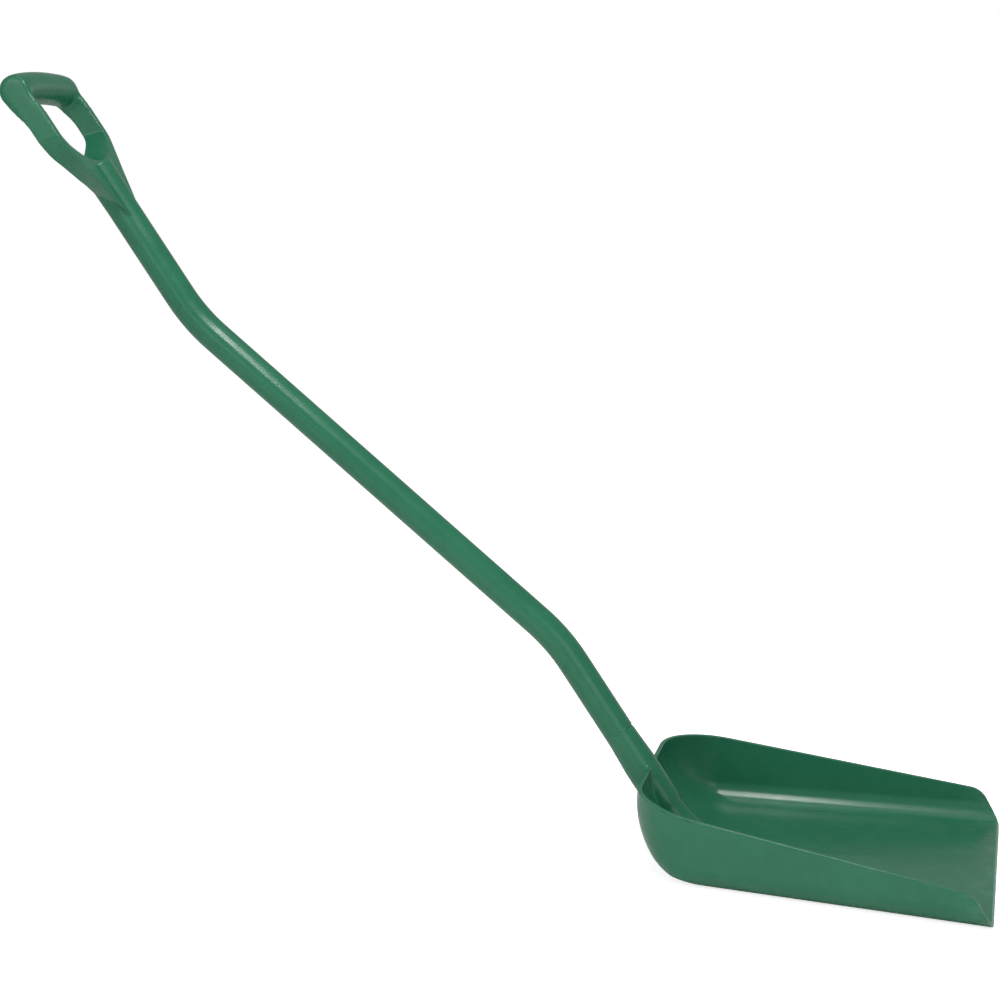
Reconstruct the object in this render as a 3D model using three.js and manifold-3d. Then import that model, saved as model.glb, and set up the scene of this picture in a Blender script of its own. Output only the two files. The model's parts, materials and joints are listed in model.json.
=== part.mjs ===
// Snow and grain shovel: a tapered scoop, an S-bent tube shaft and a D-shaped hand grip, welded end to end.
// Millimetres, +Z up. The flat sole lies on Z = 0, the lip points along +X and the mirror plane is Y = 0.
// The origin is a point on the flat sole, 200 mm in front of the rearmost line of the heel.
import * as THREE from "three";
import { LoftGeometry } from "three/addons/geometries/LoftGeometry.js";
import { mergeVertices } from "three/addons/utils/BufferGeometryUtils.js";
import Module from "manifold-3d";

// Scoop
const REAR_X = -200; // rearmost line of the heel
const SCOOP_LENGTH = 360; // heel to lip
const LIP_WIDTH = 344; // between the side walls' outer faces, at the lip
const REAR_WIDTH = 283; // the same, where the side walls' lines reach the heel
const REAR_HEIGHT = 80; // rim above the sole, at the heel
const FRONT_HEIGHT = 37; // rim above the sole, where it starts to drop to the lip
const DROP_LENGTH = 21.5; // lip to the corner where the rim starts to drop
const DROP_ROUND = 24; // radius of that corner
const WALL = 4.5; // thickness of the walls and the floor
const HEEL_RADIUS = 75; // between the sole and the rear wall
const SOLE_RADIUS = 25; // between the sole and each side wall
const CORNER_RADIUS_TOP = 73; // upright rear corners, at the rim
const CORNER_RADIUS_SOLE = 20; // the same, down at the sole
const CORNER_TANGENT = 61; // heel to where the upright corners' rounding ends, low down
const RAMP_RADIUS = 16.8; // round back of the ramp inside the pan
const RAMP_START = 60; // lower weld to the ramp's start in the rear wall, along the axis
const RAMP_REACH = 260; // lower weld to below the sole, along the axis
const ROOT_FILLET = 50; // hollow blend from the ramp to the floor
const ROOT_SPREAD = 0.8; // half width of that blend, as a share of the ramp's radius
const SUNK = 2; // how far the blend starts inside the floor

// Shaft and necks
const TUBE_RADIUS = 16;
const BORE_RADIUS = 12;
const SPIGOT_RADIUS = 11.7; // the necks' spigots inside the tube's ends
const SPIGOT_LENGTH = 18;
const NECK_BORE_RADIUS = 8;
const END_ANGLE = THREE.MathUtils.degToRad(53.6); // upper and lower stretch, to the sole
const MIDDLE_ANGLE = THREE.MathUtils.degToRad(37.4); // middle stretch, to the sole
const AXIS_HEIGHT = 64.3; // the lower stretch's axis above the rearmost line of the heel
const LOWER_BEND_X = REAR_X - 102; // corner of the axis at the lower bend
const MIDDLE_LENGTH = 504; // corner to corner
const LOWER_LENGTH = 114; // corner of the lower bend to the lower weld
const UPPER_LENGTH = 95; // corner of the upper bend to the upper weld
const BEND_RADIUS = 200;
const WELD_GAP = 0.3; // between the end faces at a weld
const GROOVE = 1.2; // chamfer that each end face has for the weld bead
const BEAD_CLEAR = 0.28; // between the bead's edge and the chamfer's, along the axis
const BEAD_ROOT = 0.4; // bead's inner edge above the chamfers' inner edges
const BEAD_SUNK = 0.05; // bead's crown below the tube's outside
const NECK_BORE_DEPTH = 70;
const NECK_DEPTH = 91; // lower weld to the centre of the neck's rounded end in the heel
const NECK_ROOT_RADIUS = 17.4; // where the neck reaches the heel
const NECK_SWELL = 50; // lower weld to where the neck has that radius

// Grip, along its own axis from the upper weld (s), across (y) and towards its front (n)
const GRIP_BACK = -14;
const GRIP_FRONT = 8.5;
const GRIP_HALF_WIDTH = 66;
const HOLE_HALF_WIDTH = 57;
const BAR_RADIUS = 16.5;
const BAR_MIDDLE_S = 195; // bar's axis at the middle of its arch
const BAR_END_S = 188; // bar's axis at its ends
const BAR_N = -7;
const RIDGE_TOP_S = 92;
const RIDGE_FRONT = 14.8;
const RIDGE_HALF_WIDTH = 10.5; // at its top
const RIDGE_FOOT_S = 26; // where the ridge's sides rise out of the stem
const RIDGE_FOOT_HALF_WIDTH = 6;
const RIDGE_ROOT = 4; // how deep the ridge starts inside the stem
const RIDGE_START_S = 66; // where the stem narrows to the ridge
const STEM_BACK_S = 84; // where the stem's round back ends in the yoke
const GRIP_BORE_DEPTH = 60;

const ROUND = 40; // sides of a round section
const FINE = 12; // steps round a quarter of a fillet
const GREEN = 0x38795a;

const wasm = await Module();
wasm.setup();

/** A closed geometry as a manifold-3d solid. */
function solid(geometry) {
  const plain = new THREE.BufferGeometry().copy(geometry);
  plain.deleteAttribute("normal");
  plain.deleteAttribute("uv");
  const merged = mergeVertices(plain, 1e-4);
  return new wasm.Manifold(
    new wasm.Mesh({
      numProp: 3,
      vertProperties: merged.attributes.position.array,
      triVerts: new Uint32Array(merged.index.array),
    }),
  );
}

/** A manifold-3d solid as a named mesh of green moulded plastic. */
function mesh(name, body, roughness) {
  const { vertProperties, triVerts } = body.getMesh();
  const geometry = new THREE.BufferGeometry();
  geometry.setAttribute("position", new THREE.BufferAttribute(vertProperties, 3));
  geometry.setIndex(new THREE.BufferAttribute(triVerts, 1));
  geometry.computeVertexNormals();
  const material = new THREE.MeshStandardMaterial({ color: GREEN, roughness, metalness: 0 });
  const made = new THREE.Mesh(geometry, material);
  made.name = name;
  return made;
}

/** A capped loft through rings of points. */
const loft = (sections) => solid(new LoftGeometry(sections, { capStart: true, capEnd: true }));

// ---- Shaft line -------------------------------------------------------------------------------------------------

/** Unit vector up along a stretch that rises backwards at an angle to the sole. */
const rising = (angle) => new THREE.Vector3(-Math.cos(angle), 0, Math.sin(angle));

const LOWER_BEND = new THREE.Vector3(
  LOWER_BEND_X,
  0,
  AXIS_HEIGHT + (REAR_X - LOWER_BEND_X) * Math.tan(END_ANGLE),
);
const UPPER_BEND = LOWER_BEND.clone().addScaledVector(rising(MIDDLE_ANGLE), MIDDLE_LENGTH);
const LOWER_WELD = LOWER_BEND.clone().addScaledVector(rising(END_ANGLE), -LOWER_LENGTH);
const UPPER_WELD = UPPER_BEND.clone().addScaledVector(rising(END_ANGLE), UPPER_LENGTH);

/** Matrix that takes (x, y, z) to a point's front normal, +Y and the end stretch's upward direction. */
function alongEndStretch(origin, direction = 1) {
  const up = rising(END_ANGLE).multiplyScalar(direction);
  const across = new THREE.Vector3(0, direction, 0);
  const front = new THREE.Vector3().crossVectors(across, up);
  return new THREE.Matrix4().makeBasis(front, across, up).setPosition(origin);
}

/** A round solid of revolution on the +Z axis, from [radius, z] points that run upwards. */
function turned(profile) {
  const points = [[0, profile[0][1]], ...profile, [0, profile.at(-1)[1]]];
  const lathe = new THREE.LatheGeometry(points.map(([r, z]) => new THREE.Vector2(r, z)), ROUND);
  return lathe.rotateX(Math.PI / 2).rotateZ(Math.PI / ROUND);
}

/** The shaft's axis as [point, tangent] pairs: straight stretches joined by arcs. */
function shaftStations() {
  const turn = END_ANGLE - MIDDLE_ANGLE;
  const tangentLength = BEND_RADIUS * Math.tan(turn / 2);
  const stations = [];
  const add = (point, angle) => stations.push([point, angle]);
  const bend = (corner, fromAngle, toAngle) => {
    const start = corner.clone().addScaledVector(rising(fromAngle), -tangentLength);
    const side = Math.sign(toAngle - fromAngle);
    const normal = (angle) => new THREE.Vector3(Math.sin(angle), 0, Math.cos(angle)).multiplyScalar(side);
    const centre = start.clone().addScaledVector(normal(fromAngle), BEND_RADIUS);
    for (let i = 0; i <= FINE; i++) {
      const angle = fromAngle + ((toAngle - fromAngle) * i) / FINE;
      add(centre.clone().addScaledVector(normal(angle), -BEND_RADIUS), angle);
    }
  };
  const end = (weld, inward) => weld.clone().addScaledVector(rising(END_ANGLE), inward);
  add(end(LOWER_WELD, WELD_GAP / 2), END_ANGLE);
  add(end(LOWER_WELD, WELD_GAP / 2 + GROOVE), END_ANGLE);
  bend(LOWER_BEND, END_ANGLE, MIDDLE_ANGLE);
  bend(UPPER_BEND, MIDDLE_ANGLE, END_ANGLE);
  add(end(UPPER_WELD, -WELD_GAP / 2 - GROOVE), END_ANGLE);
  add(end(UPPER_WELD, -WELD_GAP / 2), END_ANGLE);
  return stations;
}

/** Ring of points about a station of the shaft. */
function ring([point, angle], radius) {
  const across = new THREE.Vector3(0, 1, 0);
  const front = new THREE.Vector3().crossVectors(across, rising(angle));
  return Array.from({ length: ROUND }, (_, i) => {
    const a = (2 * Math.PI * i) / ROUND;
    return point.clone().addScaledVector(front, radius * Math.cos(a)).addScaledVector(across, radius * Math.sin(a));
  });
}

function shaftTube() {
  const stations = shaftStations();
  const last = stations.length - 1;
  const outside = stations.map((s, i) => ring(s, i === 0 || i === last ? TUBE_RADIUS - GROOVE : TUBE_RADIUS));
  const bore = stations.map((s, i) => {
    const past = i === 0 ? -1 : i === last ? 1 : 0;
    return ring([s[0].clone().addScaledVector(rising(s[1]), past), s[1]], BORE_RADIUS);
  });
  return loft(outside).subtract(loft(bore));
}

/** Bead that fills the groove at a weld. */
function weldBead(origin) {
  const root = TUBE_RADIUS - GROOVE + BEAD_ROOT;
  const crown = TUBE_RADIUS - BEAD_SUNK;
  const wide = GROOVE - BEAD_CLEAR;
  const narrow = BEAD_ROOT - BEAD_CLEAR;
  const profile = [[root, -narrow], [crown, -wide], [crown, wide], [root, narrow], [root, -narrow]];
  const lathe = new THREE.LatheGeometry(profile.map(([r, z]) => new THREE.Vector2(r, z)), ROUND);
  return solid(lathe.rotateX(Math.PI / 2).rotateZ(Math.PI / ROUND).applyMatrix4(alongEndStretch(origin)));
}

// ---- Scoop ------------------------------------------------------------------------------------------------------

/** How far a fillet's surface lies inside its wall's line, at a height above the sole. */
const fillet = (radius, height) =>
  height >= radius ? 0 : radius - Math.sqrt(radius * radius - (radius - height) ** 2);

/** Horizontal outline of the pan at a height above its own floor, moved in by a wall, anticlockwise from above. */
function panRing(height, wall, z) {
  const above = Math.max(height, 0);
  const rear = wall + fillet(HEEL_RADIUS - wall, above);
  const side = wall + fillet(SOLE_RADIUS - wall, above);
  const share = Math.min(above / HEEL_RADIUS, 1) ** 2;
  const tangent = THREE.MathUtils.lerp(CORNER_TANGENT, CORNER_RADIUS_TOP, share);
  const radius = Math.max(CORNER_RADIUS_SOLE - wall, tangent - rear);
  const taper = (LIP_WIDTH - REAR_WIDTH) / 2 / SCOOP_LENGTH;
  const slant = Math.atan(taper);
  const halfAt = (x) => REAR_WIDTH / 2 + taper * x - side / Math.cos(slant);
  const past = SCOOP_LENGTH + 20;
  // The corner's centre touches the rear line and the slanting side line.
  const centreX = rear + radius;
  const centreY = halfAt(centreX) - radius / Math.cos(slant);
  const half = [[past, halfAt(past)]];
  const from = Math.PI / 2 + slant;
  for (let i = 0; i <= FINE; i++) {
    const a = from + ((Math.PI - from) * i) / FINE;
    half.push([centreX + radius * Math.cos(a), centreY + radius * Math.sin(a)]);
  }
  const whole = [...half, ...half.map(([x, y]) => [x, -y]).reverse()];
  return whole.map(([x, y]) => new THREE.Vector3(REAR_X + x, y, z));
}

/** The pan's outer body, or with a wall thickness its inside, both without the rim's cut. */
function panBody(wall) {
  const sections = [];
  for (let i = 0; i <= FINE; i++) {
    const height = (HEEL_RADIUS - wall) * (1 - Math.cos((Math.PI / 2) * (i / FINE)));
    sections.push(panRing(height, wall, wall + height));
  }
  sections.push(panRing(HEEL_RADIUS, wall, REAR_HEIGHT + 30));
  return loft(sections);
}

/** An outline in the (x, z) plane, extruded across the whole scoop. */
function acrossScoop(points, halfWidth = LIP_WIDTH) {
  const shape = new THREE.Shape(points.map(([x, z]) => new THREE.Vector2(x, z)));
  const slab = new THREE.ExtrudeGeometry(shape, { depth: 2 * halfWidth, bevelEnabled: false, steps: 1 });
  return solid(slab.rotateX(Math.PI / 2).translate(0, halfWidth, 0));
}

/** What is cut off above the rim and in front of the lip. */
function aboveRim() {
  const cornerX = SCOOP_LENGTH - DROP_LENGTH;
  const slope = (FRONT_HEIGHT - REAR_HEIGHT) / cornerX;
  const along = Math.atan(slope);
  const drop = Math.atan2(-FRONT_HEIGHT, DROP_LENGTH);
  // The arc that rounds the corner touches the rim's line and the drop's line.
  const reach = DROP_ROUND * Math.tan((along - drop) / 2);
  const centreX = cornerX - reach * Math.cos(along) + DROP_ROUND * Math.sin(along);
  const centreZ = FRONT_HEIGHT - reach * Math.sin(along) - DROP_ROUND * Math.cos(along);
  const behind = -60;
  const before = SCOOP_LENGTH + 60;
  const high = 140;
  const line = [[behind, REAR_HEIGHT + behind * slope]];
  for (let i = 0; i <= FINE; i++) {
    const a = Math.PI / 2 + THREE.MathUtils.lerp(along, drop, i / FINE);
    line.push([centreX + DROP_ROUND * Math.cos(a), centreZ + DROP_ROUND * Math.sin(a)]);
  }
  line.push([SCOOP_LENGTH, 0], [SCOOP_LENGTH, -10], [before, -10], [before, high], [behind, high]);
  return acrossScoop(line.map(([x, z]) => [REAR_X + x, z]));
}

/** Round neck on the lower stretch's line, from the weld down, with a rounded end inside the heel. */
function neck() {
  const profile = [
    [TUBE_RADIUS - GROOVE, WELD_GAP / 2],
    [TUBE_RADIUS, WELD_GAP / 2 + GROOVE],
    [NECK_ROOT_RADIUS, NECK_SWELL],
    [NECK_ROOT_RADIUS, NECK_DEPTH],
  ];
  for (let i = 1; i < FINE; i++) {
    const a = (Math.PI / 2) * (i / FINE);
    profile.push([NECK_ROOT_RADIUS * Math.cos(a), NECK_DEPTH + NECK_ROOT_RADIUS * Math.sin(a)]);
  }
  return solid(turned(profile).applyMatrix4(alongEndStretch(LOWER_WELD, -1)));
}

/** Ramp inside the pan: the neck's round back runs down to the floor and ends in a hollow blend. */
function ramp(outer) {
  const down = alongEndStretch(LOWER_WELD, -1);
  const rod = solid(turned([[RAMP_RADIUS, RAMP_START], [RAMP_RADIUS, RAMP_REACH]]).applyMatrix4(down));
  const crest = (x) => AXIS_HEIGHT + RAMP_RADIUS / Math.cos(END_ANGLE) - (x - REAR_X) * Math.tan(END_ANGLE);
  const footX = REAR_X + (crest(REAR_X) - WALL) / Math.tan(END_ANGLE);
  const tangent = ROOT_FILLET * Math.tan(END_ANGLE / 2);
  const outline = [[footX - ROOT_FILLET, WALL - SUNK], [footX - ROOT_FILLET, WALL]];
  for (let i = 0; i <= FINE; i++) {
    const a = END_ANGLE * (1 - i / FINE);
    outline.push([footX + tangent - ROOT_FILLET * Math.sin(a), WALL + ROOT_FILLET * (1 - Math.cos(a))]);
  }
  outline.push([footX + tangent, WALL - SUNK]);
  const foot = acrossScoop(outline, RAMP_RADIUS * ROOT_SPREAD);
  return rod.add(foot).intersect(outer);
}

function scoop() {
  const outer = panBody(0);
  const pan = outer.subtract(panBody(WALL)).subtract(aboveRim());
  const bore = turned([[NECK_BORE_RADIUS, -SPIGOT_LENGTH - 2], [NECK_BORE_RADIUS, NECK_BORE_DEPTH]]);
  const spigot = turned([[SPIGOT_RADIUS, -SPIGOT_LENGTH], [SPIGOT_RADIUS, GROOVE + 1]]);
  const down = alongEndStretch(LOWER_WELD, -1);
  return pan
    .add(ramp(outer))
    .add(neck())
    .add(solid(spigot.applyMatrix4(down)))
    .subtract(solid(bore.applyMatrix4(down)));
}

// ---- Grip -------------------------------------------------------------------------------------------------------

/** Half outlines [s, y] of the yoke and legs, and of the finger hole, at the back and the front of the legs. */
const YOKE = {
  back: [[69, 10], [73, 13], [78, 17], [82, 21], [86, 26], [105, 46], [119, 64], [124, 66]],
  front: [[29, 14.5], [41, 24], [56, 29.5], [77, 32], [89, 37], [103, 51], [124, 64], [129, 66]],
};
const HOLE = {
  back: [[109, 0], [111, 16], [116, 29], [125, 46], [131, 54], [137, 57]],
  front: [[95, 0], [97, 16], [103, 33], [113, 47], [120, 53], [129, 57]],
};

/** Ring of a half outline and its mirror image, blended between back and front at a depth n, closed at the top. */
function gripRing({ back, front }, n, topS) {
  const share = (n - GRIP_BACK) / (GRIP_FRONT - GRIP_BACK);
  const blended = back.map(([s, y], i) => {
    const [frontS, frontY] = front[i];
    return new THREE.Vector2(s + (frontS - s) * share, y + (frontY - y) * share);
  });
  const flank = new THREE.SplineCurve(blended).getPoints(3 * FINE);
  flank.push(new THREE.Vector2(topS, flank.at(-1).y));
  const points = flank.map((p) => new THREE.Vector3(n, p.y, p.x));
  const mirrored = flank.filter((p) => p.y > 0).map((p) => new THREE.Vector3(n, -p.y, p.x));
  return [...points, ...mirrored.reverse()];
}

/** Loft of a grip outline from behind the grip to before it. */
function gripLoft(outline, topS) {
  return loft([gripRing(outline, GRIP_BACK - 10, topS), gripRing(outline, GRIP_FRONT + 3, topS)]);
}

/** Side view of the grip [s, n], extruded across: flat legs that swell at the back into the bar. */
function gripSide() {
  const shape = new THREE.Shape();
  shape.moveTo(0, GRIP_FRONT);
  shape.lineTo(0, GRIP_BACK);
  shape.lineTo(148, GRIP_BACK);
  shape.bezierCurveTo(165, GRIP_BACK, 170, BAR_N - BAR_RADIUS + 1, BAR_END_S - 2, BAR_N - BAR_RADIUS + 1);
  shape.absarc(BAR_END_S, BAR_N, BAR_RADIUS - 0.5, -Math.PI / 2, Math.PI / 2, false);
  shape.lineTo(BAR_END_S - 8, GRIP_FRONT);
  const slab = new THREE.ExtrudeGeometry(shape, { depth: 200, bevelEnabled: false, curveSegments: FINE });
  // (s, n, depth) to (n, y, s)
  return solid(slab.applyMatrix4(new THREE.Matrix4().set(0, 1, 0, 0, 0, 0, 1, -100, 1, 0, 0, 0, 0, 0, 0, 1)));
}

/** Arched round bar between the legs' outer faces. */
function gripBar() {
  const sections = [];
  for (let i = 0; i <= 2 * FINE; i++) {
    const across = i / FINE - 1;
    const s = THREE.MathUtils.lerp(BAR_MIDDLE_S, BAR_END_S, across * across);
    const radius = Math.abs(across) === 1 ? BAR_RADIUS - 1 : BAR_RADIUS;
    sections.push(
      Array.from({ length: ROUND }, (_, j) => {
        const a = (-2 * Math.PI * j) / ROUND;
        return new THREE.Vector3(BAR_N + radius * Math.cos(a), across * GRIP_HALF_WIDTH, s + radius * Math.sin(a));
      }),
    );
  }
  return loft(sections);
}

/** A block between two corners, given as [n, y, s]. */
function block(low, high) {
  const size = high.map((h, i) => h - low[i]);
  const middle = high.map((h, i) => (h + low[i]) / 2);
  return solid(new THREE.BoxGeometry(...size).translate(...middle));
}

function grip() {
  const bars = gripLoft(YOKE, BAR_END_S).subtract(gripLoft(HOLE, BAR_END_S + 20));
  const sides = bars.intersect(gripSide());
  const start = WELD_GAP / 2;
  const stem = solid(turned([
    [TUBE_RADIUS - GROOVE, start],
    [TUBE_RADIUS, start + GROOVE],
    [TUBE_RADIUS, RIDGE_TOP_S],
  ]));
  const above = TUBE_RADIUS + 2;
  const ridgeRing = (s, half) =>
    [[RIDGE_ROOT, -half], [above, -half], [above, half], [RIDGE_ROOT, half]].map(([n, y]) => new THREE.Vector3(n, y, s));
  const ridge = loft([ridgeRing(RIDGE_FOOT_S, RIDGE_FOOT_HALF_WIDTH), ridgeRing(RIDGE_TOP_S, RIDGE_HALF_WIDTH)]);
  const round = stem.intersect(block([-40, -40, -1], [40, 40, RIDGE_START_S]));
  const narrow = stem.intersect(block([-40, -9.5, RIDGE_START_S - 6], [40, 9.5, RIDGE_TOP_S]));
  const ridgedStem = round.add(narrow).add(ridge).intersect(block([-40, -40, -1], [RIDGE_FRONT, 40, RIDGE_TOP_S]));
  const spigot = solid(turned([[SPIGOT_RADIUS, -SPIGOT_LENGTH], [SPIGOT_RADIUS, GROOVE + 1]]));
  const bore = solid(turned([[NECK_BORE_RADIUS, -SPIGOT_LENGTH - 2], [NECK_BORE_RADIUS, GRIP_BORE_DEPTH]]));
  // The stem's back fades into the yoke above the point where the flanks meet it.
  const stemBack = block([-40, -40, STEM_BACK_S], [GRIP_BACK, 40, 200]);
  return sides
    .add(gripBar())
    .add(ridgedStem.subtract(stemBack))
    .add(spigot)
    .subtract(bore)
    .transform(alongEndStretch(UPPER_WELD).elements);
}

// ---- Assembly ---------------------------------------------------------------------------------------------------

const shovel = new THREE.Group();
shovel.name = "shovel";
shovel.add(
  mesh("scoop", scoop(), 0.42),
  mesh("shaft_tube", shaftTube(), 0.38),
  mesh("d_grip", grip(), 0.42),
  mesh("lower_weld_bead", weldBead(LOWER_WELD), 0.6),
  mesh("upper_weld_bead", weldBead(UPPER_WELD), 0.6),
);

export default shovel;
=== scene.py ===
"""One-colour moulded shovel: a tapered scoop, an S-bent tube shaft and a D-shaped hand grip.

Metres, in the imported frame: the flat sole lies on Z = 0, the lip points along +X and the mirror plane
is Y = 0. The welds and the lip give the places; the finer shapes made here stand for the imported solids.
"""

import json
import logging
import math
from contextlib import contextmanager
from dataclasses import dataclass
from enum import Enum
from typing import Callable, Iterator, Sequence

import bmesh
import bpy
from mathutils import Matrix, Vector

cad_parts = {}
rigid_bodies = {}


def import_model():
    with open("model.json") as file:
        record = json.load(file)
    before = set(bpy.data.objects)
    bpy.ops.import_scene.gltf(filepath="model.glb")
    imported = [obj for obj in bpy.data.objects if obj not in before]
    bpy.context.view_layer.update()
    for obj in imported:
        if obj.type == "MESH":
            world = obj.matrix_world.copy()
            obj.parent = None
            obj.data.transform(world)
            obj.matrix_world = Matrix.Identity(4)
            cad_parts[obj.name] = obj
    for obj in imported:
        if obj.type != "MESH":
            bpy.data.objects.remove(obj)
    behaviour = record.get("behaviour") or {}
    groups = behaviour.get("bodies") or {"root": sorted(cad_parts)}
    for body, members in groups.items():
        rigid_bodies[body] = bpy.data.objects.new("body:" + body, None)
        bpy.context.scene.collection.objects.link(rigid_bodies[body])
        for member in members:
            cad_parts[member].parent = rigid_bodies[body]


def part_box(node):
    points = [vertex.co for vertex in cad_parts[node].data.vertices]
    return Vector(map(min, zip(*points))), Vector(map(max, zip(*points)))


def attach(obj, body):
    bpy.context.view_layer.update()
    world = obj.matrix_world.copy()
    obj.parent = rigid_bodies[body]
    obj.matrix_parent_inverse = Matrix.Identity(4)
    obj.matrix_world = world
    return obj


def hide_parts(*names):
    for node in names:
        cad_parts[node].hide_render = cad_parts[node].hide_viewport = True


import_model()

LOG = logging.getLogger("shovel")
TINY = 1e-6
HALF_GAP = 0.00015  # half of the gap between two pieces that are welded together
Point = Sequence[float]
Pair = tuple[float, float]
Test = Callable[[Vector], bool]


class Kind(Enum):
    """What a selection picks in edit mode."""

    VERTS = "VERT"
    EDGES = "EDGE"
    FACES = "FACE"


class Cut(Enum):
    """How a boolean modifier joins two solids."""

    JOIN = "UNION"
    TAKE_AWAY = "DIFFERENCE"
    KEEP_COMMON = "INTERSECT"


# ---- Modelling moves -----------------------------------------------------------------------------


class Bench:
    """Modelling moves that every piece uses, each on one mesh object at a time."""

    @staticmethod
    def clear() -> None:
        """Leaves edit mode, if it is on, and deselects everything."""
        if bpy.context.mode != "OBJECT":
            bpy.ops.object.mode_set(mode="OBJECT")
        bpy.ops.object.select_all(action="DESELECT")

    @staticmethod
    def take(piece: bpy.types.Object) -> None:
        """Makes a piece the only selected and the active object.

        Args:
            piece: The object.
        """
        Bench.clear()
        piece.select_set(True)
        bpy.context.view_layer.objects.active = piece

    @staticmethod
    def settle(name: str) -> bpy.types.Object:
        """Names the active object and puts its place, turn and scale into its mesh.

        Args:
            name: The piece's new name.

        Returns:
            The object, at the origin.
        """
        if bpy.context.mode != "OBJECT":
            bpy.ops.object.mode_set(mode="OBJECT")
        piece = bpy.context.active_object
        piece.name = piece.data.name = name
        bpy.ops.object.transform_apply(location=True, rotation=True, scale=True)
        return piece

    @staticmethod
    @contextmanager
    def editing(piece: bpy.types.Object, kind: Kind = Kind.VERTS) -> Iterator[None]:
        """Edit mode on a piece, with nothing selected at the start.

        Args:
            piece: The mesh object to edit.
            kind: What selections pick.

        Returns:
            A context in which bpy.ops.mesh operators act on the piece.
        """
        Bench.take(piece)
        bpy.ops.object.mode_set(mode="EDIT")
        bpy.ops.mesh.select_mode(type=kind.value)
        bpy.ops.mesh.select_all(action="DESELECT")
        yield
        bpy.ops.object.mode_set(mode="OBJECT")

    @staticmethod
    def pick(piece: bpy.types.Object, test: Test, kind: Kind = Kind.VERTS) -> None:
        """Selects only what lies where a test says, in edit mode.

        Args:
            piece: The mesh object in edit mode.
            test: Takes an element's middle and says whether it is picked.
            kind: Which elements are tested.
        """
        bpy.ops.mesh.select_mode(type=kind.value)
        bpy.ops.mesh.select_all(action="DESELECT")
        shape = bmesh.from_edit_mesh(piece.data)
        if kind is Kind.VERTS:
            middles = [(vert, vert.co) for vert in shape.verts]
        elif kind is Kind.EDGES:
            middles = [(edge, (edge.verts[0].co + edge.verts[1].co) / 2) for edge in shape.edges]
        else:
            middles = [(face, face.calc_center_median()) for face in shape.faces]
        for element, middle in middles:
            if test(middle):
                element.select_set(True)
        shape.select_flush_mode()
        bmesh.update_edit_mesh(piece.data)

    @staticmethod
    def pick_all() -> None:
        """Selects all of the edited mesh."""
        bpy.ops.mesh.select_all(action="SELECT")

    @staticmethod
    def outward() -> None:
        """Turns every face of the edited mesh outwards."""
        Bench.pick_all()
        bpy.ops.mesh.normals_make_consistent(inside=False)

    @staticmethod
    def draw(name: str, points: Sequence[Point], filled: bool = True) -> bpy.types.Object:
        """Draws an outline by extruding one vertex from point to point.

        Args:
            name: The new object's name.
            points: The outline's corners, in order.
            filled: Whether the outline is closed with a face.

        Returns:
            The outline as a mesh object.
        """
        Bench.clear()
        bpy.ops.mesh.primitive_plane_add(size=0.001, location=points[0])
        bpy.ops.object.mode_set(mode="EDIT")
        bpy.ops.mesh.select_mode(type=Kind.VERTS.value)
        Bench.pick_all()
        bpy.ops.mesh.merge(type="CENTER")
        for here, there in zip(points, points[1:]):
            step = Vector(there) - Vector(here)
            bpy.ops.mesh.extrude_region_move(TRANSFORM_OT_translate={"value": step})
        if filled:
            Bench.pick_all()
            bpy.ops.mesh.edge_face_add()
        return Bench.settle(name)

    @staticmethod
    def hoop(name: str, centre: Point, facing: Point, radius: float, sides: int) -> bpy.types.Object:
        """A ring of edges about a direction.

        Args:
            name: The new object's name.
            centre: The ring's middle.
            facing: The direction of its axis.
            radius: Its radius.
            sides: How many edges it has.

        Returns:
            The ring as a mesh object.
        """
        Bench.clear()
        turn = Vector(facing).to_track_quat("Z", "Y").to_euler()
        bpy.ops.mesh.primitive_circle_add(vertices=sides, radius=radius, location=centre, rotation=turn)
        return Bench.settle(name)

    @staticmethod
    def push(step: Vector) -> None:
        """Extrudes the selection along a step, in edit mode."""
        bpy.ops.mesh.extrude_region_move(TRANSFORM_OT_translate={"value": step})

    @staticmethod
    def sweep(angle: float, centre: Point, axis: Point, steps: int) -> None:
        """Spins the selection round an axis by the right-hand rule, in edit mode.

        Args:
            angle: The turn, in radians.
            centre: A point on the axis.
            axis: The axis' direction.
            steps: How many steps the turn takes.
        """
        # Without a window the operator turns the other way.
        bpy.ops.mesh.spin(steps=steps, angle=-angle, center=centre, axis=axis)

    @staticmethod
    def spin_round(profile: bpy.types.Object, sides: int) -> None:
        """Spins a drawn profile all round the Z axis into a closed shell.

        Args:
            profile: The mesh object that holds the profile.
            sides: How many sides the shell has.
        """
        with Bench.editing(profile):
            Bench.pick_all()
            Bench.sweep(2 * math.pi, (0, 0, 0), (0, 0, 1), sides)
            Bench.pick_all()
            bpy.ops.mesh.remove_doubles(threshold=TINY)
            Bench.outward()

    @staticmethod
    def lathe(name: str, profile: Sequence[Pair], sides: int) -> bpy.types.Object:
        """A closed solid of revolution on the Z axis.

        Args:
            name: The new object's name.
            profile: (radius, z) points that start and end on the axis.
            sides: How many sides the solid has.

        Returns:
            The solid as a mesh object.
        """
        turned = Bench.draw(name, [(radius, 0.0, z) for radius, z in profile], filled=False)
        Bench.spin_round(turned, sides)
        return turned

    @staticmethod
    def block(name: str, low: Point, high: Point) -> bpy.types.Object:
        """A block between two corners, for cutting with.

        Args:
            name: The new object's name.
            low: Its corner with the lowest coordinates.
            high: Its corner with the highest ones.

        Returns:
            The block as a mesh object.
        """
        Bench.clear()
        middle = [(a + b) / 2 for a, b in zip(low, high)]
        bpy.ops.mesh.primitive_cube_add(size=1, location=middle)
        block = Bench.settle(name)
        with Bench.editing(block):
            Bench.pick_all()
            bpy.ops.transform.resize(value=[b - a for a, b in zip(low, high)], center_override=middle)
        return block

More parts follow.
